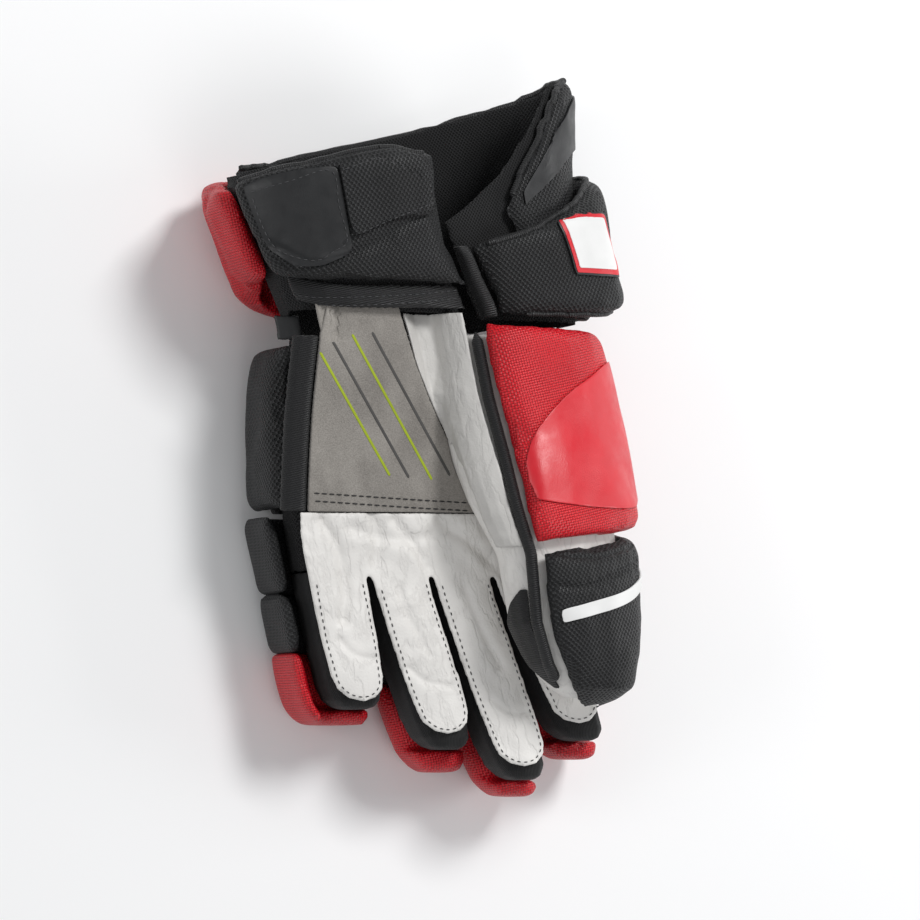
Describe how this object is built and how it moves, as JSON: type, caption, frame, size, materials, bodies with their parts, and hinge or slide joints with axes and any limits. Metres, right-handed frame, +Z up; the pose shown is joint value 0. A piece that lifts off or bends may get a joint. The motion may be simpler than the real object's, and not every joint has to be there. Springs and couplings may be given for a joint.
{
  "type": "ice hockey glove",
  "caption": "Left-hand ice hockey glove lying palm up on its padded back, with a flared padded cuff, suede palm, leather finger strips and a folded padded thumb",
  "frame": {"origin": "middle of the bounding box, on the plane that the back of the glove rests on", "axes": "+Z up out of the palm, +Y towards the cuff, -Y towards the fingers, +X towards the thumb"},
  "size_m": [0.211, 0.352, 0.1171],
  "materials": {
    "black_mesh": "black honeycomb mesh over foam",
    "lining": "dark brushed mesh lining",
    "stretch": "matte black stretch fabric",
    "black_satin": "smooth satin black film",
    "tape": "ribbed black binding tape",
    "red_weave": "red ballistic weave over foam",
    "red_satin": "lighter red smooth film",
    "white_leather": "soft white synthetic leather",
    "white_satin": "smooth white film",
    "suede": "warm grey suede",
    "pale_leather": "light grey soft leather"
  },
  "bodies": {
    "root": {"cuff_lining": "lining", "cuff_palm_pad": "black_mesh", "cuff_hem": "tape", "cuff_strap": "black_mesh", "cuff_patch": "black_satin", "cuff_seam_tape": "tape", "cuff_back_pad": "black_mesh", "cuff_back_trim": "black_satin", "cuff_roll": "black_mesh", "cuff_roll_patch": "black_satin", "cuff_side_roll": "red_weave", "label_tab": "black_satin", "hand_liner": "lining", "backhand_pad_upper": "black_mesh", "backhand_pad_middle": "black_mesh", "backhand_pad_lower": "black_mesh", "pinky_side_pad": "black_mesh", "palm_binding": "tape", "palm_suede": "suede", "palm_leather": "white_leather", "thumb_web": "pale_leather", "index_sleeve": "stretch", "index_knuckle_pad": "black_mesh", "index_middle_pad": "black_mesh", "index_tip_pad": "red_weave", "middle_sleeve": "stretch", "middle_knuckle_pad": "black_mesh", "middle_middle_pad": "black_mesh", "middle_tip_pad": "red_weave", "ring_sleeve": "stretch", "ring_knuckle_pad": "black_mesh", "ring_middle_pad": "black_mesh", "ring_tip_pad": "red_weave", "pinky_sleeve": "stretch", "pinky_knuckle_pad": "black_mesh", "pinky_middle_pad": "black_mesh", "pinky_tip_pad": "red_weave", "thumb_leather": "white_leather", "thumb_outer_pad": "red_weave", "thumb_overlay": "red_satin", "thumb_tip_pad": "black_mesh", "thumb_stripe": "white_satin", "thumb_piping": "tape", "thumb_grip": "black_satin"}
  },
  "joints": []
}
